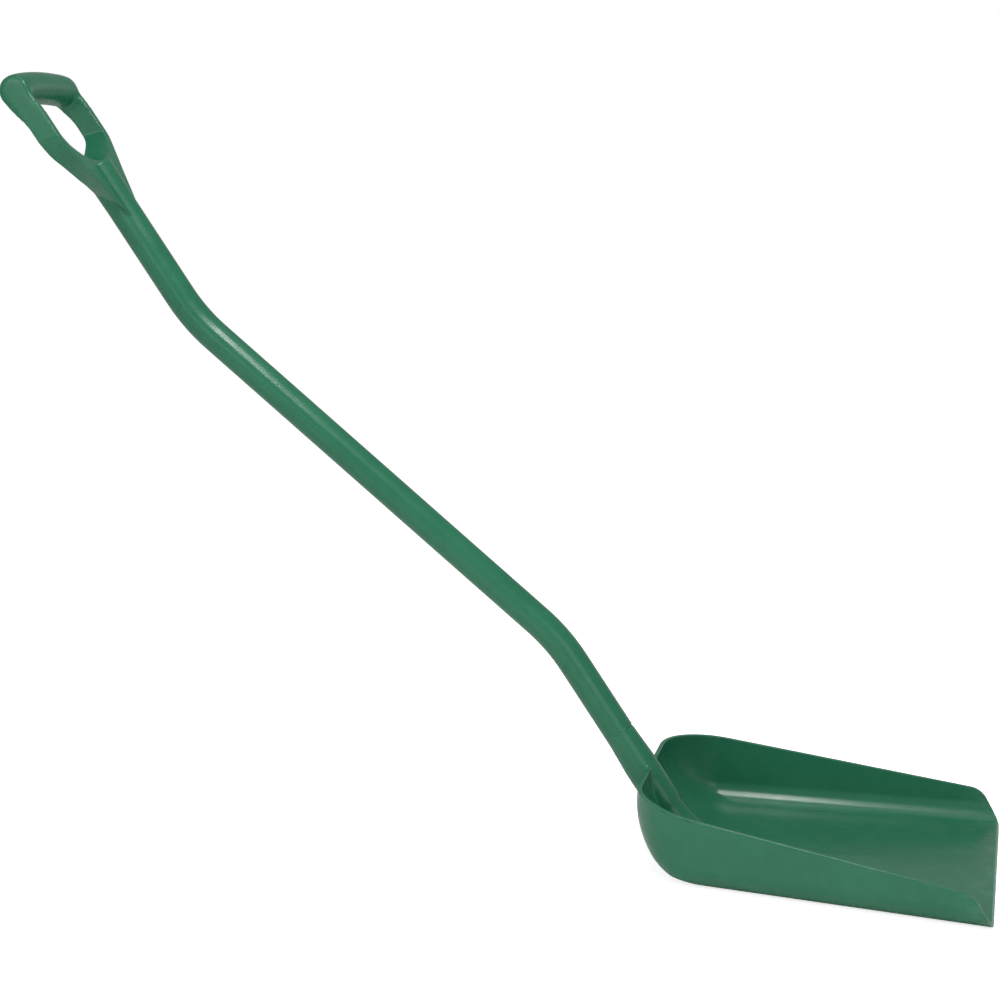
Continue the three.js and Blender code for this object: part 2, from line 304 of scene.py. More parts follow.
    @staticmethod
    def cap_ends(piece: bpy.types.Object) -> None:
        """Closes every open ring of edges with a face and turns all faces outwards.

        Args:
            piece: The mesh object.
        """
        with Bench.editing(piece):
            Bench.pick_all()
            bpy.ops.mesh.fill_holes(sides=0)
            Bench.outward()

    @staticmethod
    def modify(piece: bpy.types.Object, kind: str, **settings: object) -> None:
        """Adds a modifier with its settings and applies it.

        Args:
            piece: The mesh object.
            kind: The modifier's type.
            settings: Values for the modifier's own properties.
        """
        Bench.take(piece)
        modifier = piece.modifiers.new(kind.lower(), kind)
        for key, value in settings.items():
            setattr(modifier, key, value)
        bpy.ops.object.modifier_apply(modifier=modifier.name)

    @staticmethod
    def round_edges(piece: bpy.types.Object, width: float, **settings: object) -> None:
        """Rounds every edge that bends by more than 50 degrees.

        Args:
            piece: The mesh object.
            width: How far from the edge its rounding starts.
            settings: Further values for the bevel modifier.
        """
        limit = {"limit_method": "ANGLE", "angle_limit": math.radians(50)}
        Bench.modify(piece, "BEVEL", width=width, segments=3, **limit, **settings)

    @staticmethod
    def combine(piece: bpy.types.Object, tool: bpy.types.Object, how: Cut) -> None:
        """Joins or cuts a piece with another solid, which is used up.

        Args:
            piece: The solid that stays.
            tool: The solid that joins or cuts it.
            how: The way the two are combined.
        """
        Bench.modify(piece, "BOOLEAN", object=tool, operation=how.value, solver="EXACT")
        bpy.data.objects.remove(tool)

    @staticmethod
    def join(pieces: Sequence[bpy.types.Object]) -> bpy.types.Object:
        """Puts several meshes into the first one.

        Args:
            pieces: The mesh objects.

        Returns:
            The first object, which then holds them all.
        """
        Bench.take(pieces[0])
        for piece in pieces[1:]:
            piece.select_set(True)
        bpy.ops.object.join()
        return pieces[0]

    @staticmethod
    def shade(piece: bpy.types.Object, sharp_over: float) -> None:
        """Smooth shading with clean flats.

        Args:
            piece: The mesh object.
            sharp_over: Edges sharper than this angle, in degrees, stay sharp.
        """
        Bench.take(piece)
        bpy.ops.object.shade_smooth_by_angle(angle=math.radians(sharp_over))
        Bench.modify(piece, "WEIGHTED_NORMAL", keep_sharp=True, weight=80)


def arc(centre: Pair, radius: float, start: float, end: float, steps: int) -> list[Pair]:
    """Points on an arc in a plane.

    Args:
        centre: The arc's centre.
        radius: Its radius.
        start: The angle of its first point, in radians.
        end: The angle of its last point.
        steps: How many chords it has.

    Returns:
        The points, the ends among them.
    """
    angles = [start + (end - start) * i / steps for i in range(steps + 1)]
    return [(centre[0] + radius * math.cos(a), centre[1] + radius * math.sin(a)) for a in angles]


def bezier(corners: Sequence[Pair], steps: int) -> list[Pair]:
    """Points on a cubic curve.

    Args:
        corners: Its start, two handles and end.
        steps: How many chords it has.

    Returns:
        The points, the ends among them.
    """
    points = []
    for i in range(steps + 1):
        t = i / steps
        weights = ((1 - t) ** 3, 3 * t * (1 - t) ** 2, 3 * t * t * (1 - t), t**3)
        points.append(tuple(sum(w * c[k] for w, c in zip(weights, corners)) for k in (0, 1)))
    return points


def spline(knots: Sequence[Pair], steps: int) -> list[Pair]:
    """A smooth curve through points.

    Args:
        knots: The points that it passes through.
        steps: How many chords join two neighbouring knots.

    Returns:
        The curve's points, from the first knot to the last.
    """
    points = []
    for i in range(len(knots) - 1):
        here, there = knots[i], knots[i + 1]
        before, after = knots[max(i - 1, 0)], knots[min(i + 2, len(knots) - 1)]
        for j in range(steps):
            t = j / steps
            point = []
            for k in (0, 1):
                out, into = (there[k] - before[k]) / 2, (after[k] - here[k]) / 2
                cubic = 2 * here[k] - 2 * there[k] + out + into
                square = -3 * here[k] + 3 * there[k] - 2 * out - into
                point.append(((cubic * t + square) * t + out) * t + here[k])
            points.append(tuple(point))
    return [*points, knots[-1]]


# ---- Shaft line ----------------------------------------------------------------------------------


@dataclass(frozen=True)
class ShaftLine:
    """The line that the neck, the tube and the grip share: straight stretches in the mirror plane."""

    lower_weld: Vector
    upper_weld: Vector
    end_angle: float = math.radians(53.6)  # lower and upper stretch, to the sole
    lower_length: float = 0.114  # lower weld to the corner of the lower bend
    upper_length: float = 0.095  # corner of the upper bend to the upper weld

    @property
    def rise(self) -> Vector:
        """Unit vector up along the lower and the upper stretch."""
        return Vector((-math.cos(self.end_angle), 0, math.sin(self.end_angle)))

    @property
    def lower_bend(self) -> Vector:
        """Corner of the line at the lower bend."""
        return self.lower_weld + self.rise * self.lower_length

    @property
    def upper_bend(self) -> Vector:
        """Corner of the line at the upper bend."""
        return self.upper_weld - self.rise * self.upper_length

    @property
    def middle_angle(self) -> float:
        """The middle stretch's angle to the sole."""
        middle = self.upper_bend - self.lower_bend
        return math.atan2(middle.z, -middle.x)

    def along(self, origin: Vector, direction: int = 1) -> Matrix:
        """Where a piece made on the Z axis goes on an end stretch.

        Args:
            origin: The point of the line that the piece's origin goes to.
            direction: 1 for a piece that grows upwards, -1 for one that grows downwards.

        Returns:
            The matrix that takes X to the front normal, Y across and Z along the stretch.
        """
        up = self.rise * direction
        across = Vector((0, direction, 0))
        front = across.cross(up)
        return Matrix.Translation(origin) @ Matrix((front, across, up)).transposed().to_4x4()


# ---- Pieces --------------------------------------------------------------------------------------


@dataclass
class Scoop:
    """The scoop moulding: a pan with a neck behind it and a ramp inside it."""

    line: ShaftLine
    lip_x: float
    length: float = 0.360
    lip_width: float = 0.344
    rear_width: float = 0.283
    rear_height: float = 0.080
    front_height: float = 0.037
    drop_length: float = 0.0215  # lip to the corner where the rim starts to drop
    drop_round: float = 0.024  # radius of that corner
    drop_steps: int = 8
    wall: float = 0.0045
    heel_radius: float = 0.075
    sole_radius: float = 0.025
    corner_radius_top: float = 0.073
    corner_radius_sole: float = 0.020
    corner_tangent: float = 0.061  # heel to where the upright corners' rounding ends, low down
    rim_round: float = 0.0009
    lip_round: float = 0.0026
    neck_radius: float = 0.016
    neck_root_radius: float = 0.0178  # where the neck reaches the heel
    neck_swell: float = 0.050  # weld to where the neck has that radius
    spigot_radius: float = 0.0117
    spigot_length: float = 0.018
    bore_radius: float = 0.008
    bore_depth: float = 0.070
    neck_depth: float = 0.085  # weld to where the neck starts to fade into the heel
    neck_fade: float = 0.030
    ramp_radius: float = 0.0168
    root_radius: float = 0.105  # hollow blend from the ramp to the floor
    root_flare: float = 2.0  # how much wider than its top the ramp's foot is
    root_steps: int = 22
    root_sunk: float = 0.0003  # how deep in the floor the ramp's crest ends
    ramp_start: float = 0.060  # weld to where the ramp starts inside the neck
    weld_round: float = 0.0003
    pitch: float = 0.003  # spacing of the grid where the neck and the ramp join the pan
    grid_rows: int = 24
    grid_half: int = 14  # rows of the grid on each side of the mirror plane
    rings: int = 40
    corner_steps: int = 16
    sides: int = 96
    spare: float = 0.020  # what the tub has beyond the lip and the rim before it is cut

    @property
    def heel_x(self) -> float:
        """The rearmost line of the heel."""
        return self.lip_x - self.length

    def half_width(self, x: float) -> float:
        """Half the pan's outer width at the rim.

        Args:
            x: The distance from the heel.

        Returns:
            Half of the width there.
        """
        return (self.rear_width + (self.lip_width - self.rear_width) * x / self.length) / 2

    @staticmethod
    def inset(radius: float, height: float) -> float:
        """How far a fillet lies inside its wall's line, at a height above its foot."""
        return 0.0 if height >= radius else radius - math.sqrt(radius**2 - (radius - height) ** 2)

    def ring(self, height: float, skin: float, z: float, filled: bool) -> bpy.types.Object:
        """One level outline of the pan.

        Args:
            height: The height above the body's own floor.
            skin: How far the body lies inside the pan's outer face.
            z: The outline's place.
            filled: Whether it keeps its face.

        Returns:
            The outline, a rectangle that tapers to the rear, with round rear corners.
        """
        slant = math.atan((self.lip_width - self.rear_width) / 2 / self.length)
        rear = skin + self.inset(self.heel_radius - skin, height)
        side = (skin + self.inset(self.sole_radius - skin, height)) / math.cos(slant)
        share = min(height / self.heel_radius, 1) ** 2
        tangent = self.corner_tangent + (self.corner_radius_top - self.corner_tangent) * share
        radius = max(self.corner_radius_sole - skin, tangent - rear)
        past = self.length + self.spare
        half_front, half_rear = self.half_width(past) - side, self.half_width(rear) - side
        middle = (self.heel_x + (rear + past) / 2, 0, z)
        Bench.clear()
        bpy.ops.mesh.primitive_plane_add(size=2, location=middle)
        outline = Bench.settle("ring")
        with Bench.editing(outline):
            Bench.pick_all()
            bpy.ops.transform.resize(value=((past - rear) / 2, half_front, 1), center_override=middle)
            Bench.pick(outline, lambda v: v.x < middle[0])
            bpy.ops.transform.resize(value=(1, half_rear / half_front, 1), center_override=middle)
            bpy.ops.mesh.bevel(
                offset=radius * math.tan((math.pi / 2 - slant) / 2),
                segments=self.corner_steps,
                profile=0.5,
                affect="VERTICES",
            )
            if not filled:
                Bench.pick_all()
                bpy.ops.mesh.delete(type="ONLY_FACE")
        return outline

    def body(self, name: str, skin: float, closed: bool) -> bpy.types.Object:
        """The pan's outside as a tub, without its rim's cut.

        Args:
            name: The object's name.
            skin: How far it lies inside the pan's outer face.
            closed: Whether the top is closed.

        Returns:
            The tub, bridged from ring to ring.
        """
        top = self.rear_height + 2 * self.spare
        levels = []
        for i in range(self.rings + 1):
            height = (self.heel_radius - skin) * (1 - math.cos(math.pi / 2 * i / self.rings))
            levels.append((height, skin + height))
        levels.append((self.heel_radius, top))
        last = len(levels) - 1
        outlines = [
            self.ring(height, skin, z, filled=i == 0 or (closed and i == last))
            for i, (height, z) in enumerate(levels)
        ]
        tub = Bench.join(outlines)
        tub.name = tub.data.name = name
        with Bench.editing(tub):
            for (_, low), (_, high) in zip(levels, levels[1:]):
                Bench.pick(tub, lambda v: abs(v.z - low) < TINY or abs(v.z - high) < TINY)
                bpy.ops.mesh.select_mode(type=Kind.EDGES.value)
                bpy.ops.mesh.bridge_edge_loops()
            Bench.outward()
        return tub

    def rim_planes(self) -> list[tuple[Vector, Vector]]:
        """The planes that cut the rim.

        Returns:
            A point and a normal of each; the normal points at what goes.
        """
        drop_x = self.length - self.drop_length
        slope = (self.front_height - self.rear_height) / drop_x
        along = math.atan(slope)
        down = math.atan2(-self.front_height, self.drop_length)
        reach = self.drop_round * math.tan((along - down) / 2)
        # The arc that rounds the corner between the rim's line and the drop's line
        centre = (
            drop_x - reach * math.cos(along) + self.drop_round * math.sin(along),
            self.front_height - reach * math.sin(along) - self.drop_round * math.cos(along),
        )
        corner = arc(centre, self.drop_round, along + math.pi / 2, down + math.pi / 2, self.drop_steps)
        behind = (-self.spare, self.rear_height - self.spare * slope)
        curve = [behind, *corner, (self.length, 0.0)]
        planes = []
        for (x, z), (x_next, z_next) in zip(curve, curve[1:]):
            normal = Vector((z - z_next, 0, x_next - x)).normalized()
            planes.append((Vector((self.heel_x + x, 0, z)), normal))
        return planes

    def refine(self, pan: bpy.types.Object) -> None:
        """Gives the pan a finer grid where the neck and the ramp join it.

        Args:
            pan: The open tub, in edit mode.
        """
        pitch, half, rows = self.pitch, self.grid_half, self.grid_rows
        end = self.heel_x + self.heel_radius + rows * pitch

        def near(middle: Vector) -> bool:
            """Whether a face lies in the grid."""
            return middle.x < end and abs(middle.y) < (half + 1) * pitch

        Bench.pick_all()
        bpy.ops.mesh.bisect(plane_co=(end, 0, 0), plane_no=(1, 0, 0), threshold=TINY)
        for i in (-half, half, *range(1 - half, half)):
            Bench.pick(pan, lambda m: m.x < end and (abs(i) == half or near(m)), Kind.FACES)
            bpy.ops.mesh.bisect(plane_co=(0, i * pitch, 0), plane_no=(0, 1, 0), threshold=TINY)
        for i in range(rows + 1):
            Bench.pick(pan, near, Kind.FACES)
            bpy.ops.mesh.bisect(plane_co=(end - i * pitch, 0, 0), plane_no=(1, 0, 0), threshold=TINY)

    def pan(self) -> bpy.types.Object:
        """The pan: a tub cut at its rim and lip, given its wall and rounded edges.

        Returns:
            The pan's mesh object.
        """
        pan = self.body("scoop", 0.0, closed=False)
        rim = self.rim_planes()
        with Bench.editing(pan):
            for point, normal in [*rim, (Vector((self.lip_x, 0, 0)), Vector((1, 0, 0)))]:
                Bench.pick_all()
                bpy.ops.mesh.bisect(plane_co=point, plane_no=normal, clear_outer=True, threshold=TINY)
            on_plane, shortest_edge = 0.00002, 0.0014
            Bench.pick(pan, lambda v: any(abs((v - point).dot(normal)) < on_plane for point, normal in rim))
            bpy.ops.mesh.remove_doubles(threshold=shortest_edge)
            # The side walls past the round corners are flat, so they need no rings.
            corner_end = self.heel_x + self.corner_radius_top + 2 * self.pitch
            Bench.pick(pan, lambda m: m.x > corner_end and m.z > self.sole_radius, Kind.FACES)
            bpy.ops.mesh.dissolve_limited(angle_limit=math.radians(1))
            self.refine(pan)
        Bench.modify(
            pan, "SOLIDIFY", thickness=self.wall, offset=-1.0, use_even_offset=True, use_quality_normals=True
        )
        with Bench.editing(pan, Kind.EDGES):
            near = 0.0004
            Bench.pick(pan, lambda m: m.x > self.lip_x - near and abs(m.z - self.wall) < near, Kind.EDGES)
            bpy.ops.mesh.bevel(offset=self.lip_round, segments=4, profile=0.5)
        Bench.round_edges(pan, self.rim_round, use_clamp_overlap=False)
        return pan

    def neck(self) -> bpy.types.Object:
        """The round neck with its spigot and bore, ending in a long round nose in the heel.

        Returns:
            The neck's mesh object.
        """
        profile = [
            (0, self.bore_depth),
            (self.bore_radius, self.bore_depth),
            (self.bore_radius, -self.spigot_length),
            (self.spigot_radius, -self.spigot_length),
            (self.spigot_radius, HALF_GAP),
            (self.neck_radius - self.weld_round, HALF_GAP),
            (self.neck_radius, HALF_GAP + self.weld_round),
        ]
        depth = self.pitch
        while depth < self.neck_depth:
            swell = (1 - math.cos(math.pi * min(depth / self.neck_swell, 1))) / 2
            profile.append((self.neck_radius + (self.neck_root_radius - self.neck_radius) * swell, depth))
            depth += self.pitch
        nose_steps = 14
        nose = [
            (self.neck_root_radius * math.cos(a), self.neck_depth + self.neck_fade * math.sin(a))
            for a in (math.pi / 2 * i / nose_steps for i in range(nose_steps))
        ]
        neck = Bench.lathe("neck", [*profile, *nose, (0, self.neck_depth + self.neck_fade)], self.sides)
        neck.data.transform(self.line.along(self.line.lower_weld, -1))
        return neck

    def ramp(self) -> bpy.types.Object:
        """The ramp: the neck's round front, bent at its foot until it dives into the floor.

        Returns:
            The ramp's mesh object, cut to the pan's inside and half of its wall.
        """
        angle = self.line.end_angle
        down = -self.line.rise
        front = Vector((math.sin(angle), 0, math.cos(angle)))
        start = self.line.lower_weld + down * self.ramp_start
        # The crest meets the floor at the foot; the hollow blend touches both.
        crest = start + front * self.ramp_radius
        foot = crest + down * ((crest.z - self.wall + self.root_sunk) / math.sin(angle))
        touch = foot - down * (self.root_radius * math.tan(angle / 2)) - front * self.ramp_radius
        centre = touch + front * (self.ramp_radius + self.root_radius)
        straight = touch - start
        ramp = Bench.hoop("ramp", start, down, self.ramp_radius, self.sides)
        steps = round(straight.length / self.pitch)

        def width(step: int) -> float:
            """The ramp's width after a step of the bend, as a multiple of its first width."""
            return 1 + (self.root_flare - 1) * (step / self.root_steps) ** 1.5

        with Bench.editing(ramp):
            Bench.pick_all()
            for _ in range(steps):
                Bench.push(straight / steps)
            for i in range(1, self.root_steps + 1):
                Bench.sweep(-angle / self.root_steps, centre, (0, 1, 0), 1)
                turn = Matrix.Rotation(-angle * i / self.root_steps, 3, "Y")
                ring_middle = centre + turn @ (touch - centre)
                wider = (1, width(i) / width(i - 1), 1)
                bpy.ops.transform.resize(value=wider, center_override=ring_middle)
            Bench.push(Vector((self.spare / 2, 0, 0)))
        Bench.cap_ends(ramp)
        Bench.combine(ramp, self.body("core", self.wall / 2, closed=True), Cut.KEEP_COMMON)
        return ramp

    def soften(self, scoop: bpy.types.Object) -> None:
        """Rounds the creases where the neck and the ramp meet the pan.

        Args:
            scoop: The joined moulding.
        """
        # The creases lie in a narrow band up by the neck and in a wide one down by the floor.
        half_high, half_low = self.neck_radius + 0.006, 0.036
        low = self.wall + 0.030
        start = self.line.lower_weld.x + 0.012
        end = self.heel_x + self.heel_radius + self.root_radius
        crease = math.radians(14)
        for reach, rounds in ((1, 14), (2, 8)):
            with Bench.editing(scoop, Kind.EDGES):
                bpy.ops.mesh.edges_select_sharp(sharpness=crease)
                bpy.ops.mesh.select_mode(type=Kind.VERTS.value)
                shape = bmesh.from_edit_mesh(scoop.data)
                for vert in shape.verts:
                    half = half_low if vert.co.z < low else half_high
                    if vert.select and not (abs(vert.co.y) < half and start < vert.co.x < end):
                        vert.select_set(False)
                shape.select_flush_mode()
                bmesh.update_edit_mesh(scoop.data)
                for _ in range(reach):
                    bpy.ops.mesh.select_more()
                bpy.ops.mesh.vertices_smooth(factor=0.5, repeat=rounds)

    def build(self) -> bpy.types.Object:
        """The whole scoop as one moulding.

        Returns:
            The scoop's mesh object.
        """
        scoop = self.pan()
        slivers = 0.00012  # edges shorter than this are merged away
        Bench.combine(scoop, self.ramp(), Cut.JOIN)
        Bench.combine(scoop, self.neck(), Cut.JOIN)
        with Bench.editing(scoop):
            Bench.pick_all()
            bpy.ops.mesh.remove_doubles(threshold=slivers)
        self.soften(scoop)
        Bench.shade(scoop, sharp_over=42)
        return scoop


@dataclass
class ShaftTube:
    """The tube: two end stretches and a flatter middle stretch, joined by two bends."""

    line: ShaftLine
    radius: float = 0.016
    wall: float = 0.004
    bend_radius: float = 0.200
    weld_round: float = 0.0003
    sides: int = 96
    bend_steps: int = 20

    def build(self) -> bpy.types.Object:
        """The tube, extruded and spun along its line, with its wall and rounded ends.

        Returns:
            The tube's mesh object.
        """
        line = self.line
        middle = line.upper_bend - line.lower_bend
        turn = line.end_angle - line.middle_angle
        tangent = self.bend_radius * math.tan(turn / 2)
        start = line.lower_weld + line.rise * HALF_GAP
        first = line.lower_length - tangent - HALF_GAP
        last = line.upper_length - tangent - HALF_GAP
        down = Vector((-math.sin(line.end_angle), 0, -math.cos(line.end_angle)))
        tube = Bench.hoop("shaft_tube", start, line.rise, self.radius, self.sides)
        with Bench.editing(tube):
            Bench.pick_all()
            Bench.push(line.rise * first)
            corner = start + line.rise * first
            Bench.sweep(-turn, corner + down * self.bend_radius, (0, 1, 0), self.bend_steps)
            Bench.push(middle.normalized() * (middle.length - 2 * tangent))
            corner = line.upper_bend + line.rise * tangent
            Bench.sweep(turn, corner - down * self.bend_radius, (0, 1, 0), self.bend_steps)
            Bench.push(line.rise * last)
            Bench.outward()
        Bench.modify(tube, "SOLIDIFY", thickness=self.wall, offset=-1.0, use_even_offset=True)
        Bench.round_edges(tube, self.weld_round)
        Bench.shade(tube, sharp_over=40)
        return tube


@dataclass
class WeldBead:
    """The thin flash of a butt weld, a little uneven all round."""

    line: ShaftLine
    name: str
    place: Vector
    radius: float = 0.0160
    height: float = 0.00010
    half_width: float = 0.0011
    root_depth: float = 0.0012  # how far it reaches down into the groove
    root_half: float = 0.0001
    edge_sunk: float = 0.00004  # how deep its thin edges lie in the tube's face
    unevenness: float = 0.00002
    sides: int = 144

    def build(self) -> bpy.types.Object:
        """The bead: a low crowned band spun round the weld, then roughened.

        Returns:
            The bead's mesh object.
        """
        root, edge = self.radius - self.root_depth, self.radius - self.edge_sunk
        crown, shoulder = self.radius + self.height, self.radius + self.height * 0.7
        profile = [
            (root, 0.0, -self.root_half),
            (edge, 0.0, -self.half_width),
            (shoulder, 0.0, -self.half_width * 0.5),
            (crown, 0.0, 0.0),
            (shoulder, 0.0, self.half_width * 0.5),
            (edge, 0.0, self.half_width),
            (root, 0.0, self.root_half),
        ]
        bead = Bench.draw(self.name, profile)
        with Bench.editing(bead):
            Bench.pick_all()
            bpy.ops.mesh.delete(type="ONLY_FACE")
        Bench.spin_round(bead, self.sides)
        with Bench.editing(bead):
            Bench.pick_all()
            bpy.ops.transform.vertex_random(offset=self.unevenness, uniform=0.0, normal=1.0, seed=3)
            bpy.ops.mesh.vertices_smooth(factor=0.4, repeat=2)
        bead.data.transform(self.line.along(self.place))
        Bench.shade(bead, sharp_over=60)
        return bead


@dataclass
class DGrip:
    """The grip moulding, made upright: s up from the weld along Z, y across, n to the front along X."""

    line: ShaftLine
    back: float = -0.014
    front: float = 0.0085
    half_width: float = 0.066
    bar_radius: float = 0.0168
    bar_middle: float = 0.1940
    bar_end: float = 0.1896
    bar_skew: float = 0.0024  # how much further up one end is than the middle
    bar_n: float = -0.0065
    bar_steps: int = 40
    ridge_top: float = 0.092
    ridge_radius: float = 0.0171  # of the stem's top end
    ridge_back: float = 0.084  # above this the stem has nothing behind the legs' back
    swell_start: float = 0.045  # where the stem starts to widen
    stem_radius: float = 0.016
    spare: float = 0.012  # how far the blocks start behind the legs' back
    weld_round: float = 0.0003
    grain: float = 0.0008  # size of the cells in which its edges are rounded
    sides: int = 96

    # Stretches that are smoothed: above this s, outside this y, and how many times
    SOFTENED = ((0.172, 0.0, 30), (0.158, 0.044, 14), (0.165, 0.050, 26), (0.170, 0.054, 40))

    # Half outlines (s, y) at the back and the front of the legs, in millimetres
    YOKE = (
        ((69, 10), (73, 13), (78, 17), (82, 21), (86, 26), (104, 44.5), (117, 58.5), (134, 66)),
        ((29, 15.5), (41, 23.5), (56, 31.5), (77, 42), (89, 48.5), (103, 56), (120, 64.5), (129, 66)),
    )
    HOLE = (
        ((109, 0), (111, 16), (116, 29), (125, 46), (131, 54), (137, 57)),
        ((95, 0), (97, 16), (103, 33), (113, 47), (120, 53), (129, 57)),
    )

    def outline(self, knots: tuple, n: float, top: float) -> list[Vector]:
        """A closed outline of the grip at a depth, with its mirror image.

        Args:
            knots: The half outlines at the back and at the front.
            n: The depth, from which the outline is blended between the two.
            top: The s at which the sides end.

        Returns:
            The outline's points.
        """
        share = max((n - self.back) / (self.front - self.back), 0)
        blended = [
            tuple((b + (f - b) * share) / 1000 for b, f in zip(behind, before))
            for behind, before in zip(*knots)
        ]
        flank = [(s, min(y, self.half_width)) for s, y in spline(blended, 5)]
        flank.append((top, flank[-1][1]))
        mirrored = [(s, -y) for s, y in reversed(flank) if y > TINY]
        return [Vector((n, y, s)) for s, y in [*flank, *mirrored]]

    def block(self, name: str, knots: tuple, top: float, past: float) -> bpy.types.Object:
        """A solid with straight sides behind the legs' back and slanting ones from there to the front.

        Args:
            name: The object's name.
            knots: The half outlines at the back and at the front.
            top: The s at which the sides end.
            past: How far the solid goes past the legs' front.

        Returns:
            The outline behind, extruded twice; its second copy is moved into the outline before.
        """
        behind = self.outline(knots, self.back - self.spare, top)
        before = self.outline(knots, self.front + past, top)
        solid = Bench.draw(name, behind)
        with Bench.editing(solid, Kind.FACES):
            Bench.pick_all()
            Bench.push(Vector((self.spare, 0, 0)))
            Bench.push(Vector((before[0].x - self.back, 0, 0)))
            step = Vector((before[0].x - behind[0].x, 0, 0))
            shape = bmesh.from_edit_mesh(solid.data)
            for vert in shape.verts:
                if vert.select:
                    nearest = min(range(len(behind)), key=lambda i: (behind[i] + step - vert.co).length)
                    vert.co = before[nearest]
            bmesh.update_edit_mesh(solid.data)
            Bench.outward()
        return solid

    def rear_room(self) -> bpy.types.Object:
        """What lies behind the grip: straight behind the legs, curving out to where they join the bar.

        Returns:
            The room as a solid, for cutting with.
        """
        swell = self.bar_n - self.bar_radius + 0.001
        far, below, above, reach = self.back - 0.050, -0.010, self.bar_end + 0.030, 0.1
        swelling = [(0.148, self.back), (0.165, self.back), (0.170, swell), (self.bar_end - 0.002, swell)]
        outline = [(below, self.back), *bezier(swelling, 14), (above, swell), (above, far), (below, far)]
        room = Bench.draw("rear_room", [(n, -reach, s) for s, n in outline])
        with Bench.editing(room, Kind.FACES):
            Bench.pick_all()
            Bench.push(Vector((0, 2 * reach, 0)))
            Bench.outward()
        return room

    def bar(self) -> bpy.types.Object:
        """The arched hand bar: a ring spun about a far centre, cut square at the legs' outer faces.

        Returns:
            The bar's mesh object.
        """
        drop = self.bar_middle - self.bar_end
        arch = (self.half_width**2 + drop**2) / (2 * drop)
        centre = Vector((self.bar_n, 0, self.bar_middle - arch))
        past_leg = 0.02  # radians that are cut off again
        half_turn = math.asin(self.half_width / arch) + past_leg
        start = centre + Vector((0, -math.sin(half_turn), math.cos(half_turn))) * arch
        bar = Bench.hoop(
            "bar", start, (0, math.cos(half_turn), math.sin(half_turn)), self.bar_radius, self.sides
        )
        with Bench.editing(bar):
            Bench.pick_all()
            Bench.sweep(-2 * half_turn, centre, (1, 0, 0), self.bar_steps)
            Bench.pick_all()
            bpy.ops.transform.rotate(
                value=math.atan(self.bar_skew / self.half_width),
                orient_axis="X",
                center_override=(self.bar_n, 0, self.bar_middle),
            )
            for side in (-1, 1):
                Bench.pick_all()
                bpy.ops.mesh.bisect(
                    plane_co=(0, side * self.half_width, 0),
                    plane_no=(0, side, 0),
                    clear_outer=True,
                    use_fill=True,
                    threshold=TINY,
                )
            Bench.outward()
        return bar

    def stem(self) -> bpy.types.Object:
        """The round stem, wider at its square top end, which stands proud of the yoke as a ridge.

        Returns:
            The stem's mesh object.
        """
        profile = [
            (0, HALF_GAP),
            (self.stem_radius - self.weld_round, HALF_GAP),
            (self.stem_radius, HALF_GAP + self.weld_round),
            (self.stem_radius, self.swell_start),
            (self.ridge_radius, self.ridge_top),
            (0, self.ridge_top),
        ]
        stem = Bench.lathe("stem", profile, self.sides)
        reach = 0.03
        behind = Bench.block("behind", (-reach, -reach, self.ridge_back), (self.back, reach, 0.2))
        Bench.combine(stem, behind, Cut.TAKE_AWAY)
        return stem

    def build(self) -> bpy.types.Object:
        """The whole grip as one moulding with rounded edges.

        Returns:
            The grip's mesh object.
        """
        past_bar, past_front = 0.020, 0.002
        grip = self.block("d_grip", self.YOKE, self.bar_end, 0.0)
        hole = self.block("hole", self.HOLE, self.bar_end + past_bar, past_front)
        Bench.combine(grip, hole, Cut.TAKE_AWAY)
        Bench.combine(grip, self.rear_room(), Cut.TAKE_AWAY)
        Bench.combine(grip, self.bar(), Cut.JOIN)
        Bench.combine(grip, self.stem(), Cut.JOIN)
        # The cells round every edge a little and blend the bar, legs and stem into each other.
        Bench.modify(grip, "REMESH", mode="VOXEL", voxel_size=self.grain, adaptivity=0.0)
        Bench.modify(grip, "SMOOTH", factor=0.5, iterations=3)
        with Bench.editing(grip):
            for low, inner, rounds in self.SOFTENED:
                Bench.pick(grip, lambda v: v.z > low and abs(v.y) > inner)
                bpy.ops.mesh.vertices_smooth(factor=0.5, repeat=rounds)
        Bench.modify(grip, "DECIMATE", decimate_type="COLLAPSE", ratio=0.55)
        grip.data.transform(self.line.along(self.line.upper_weld))
        Bench.take(grip)
        bpy.ops.object.shade_smooth()
        return grip


# ---- Finishes ------------------------------------------------------------------------------------


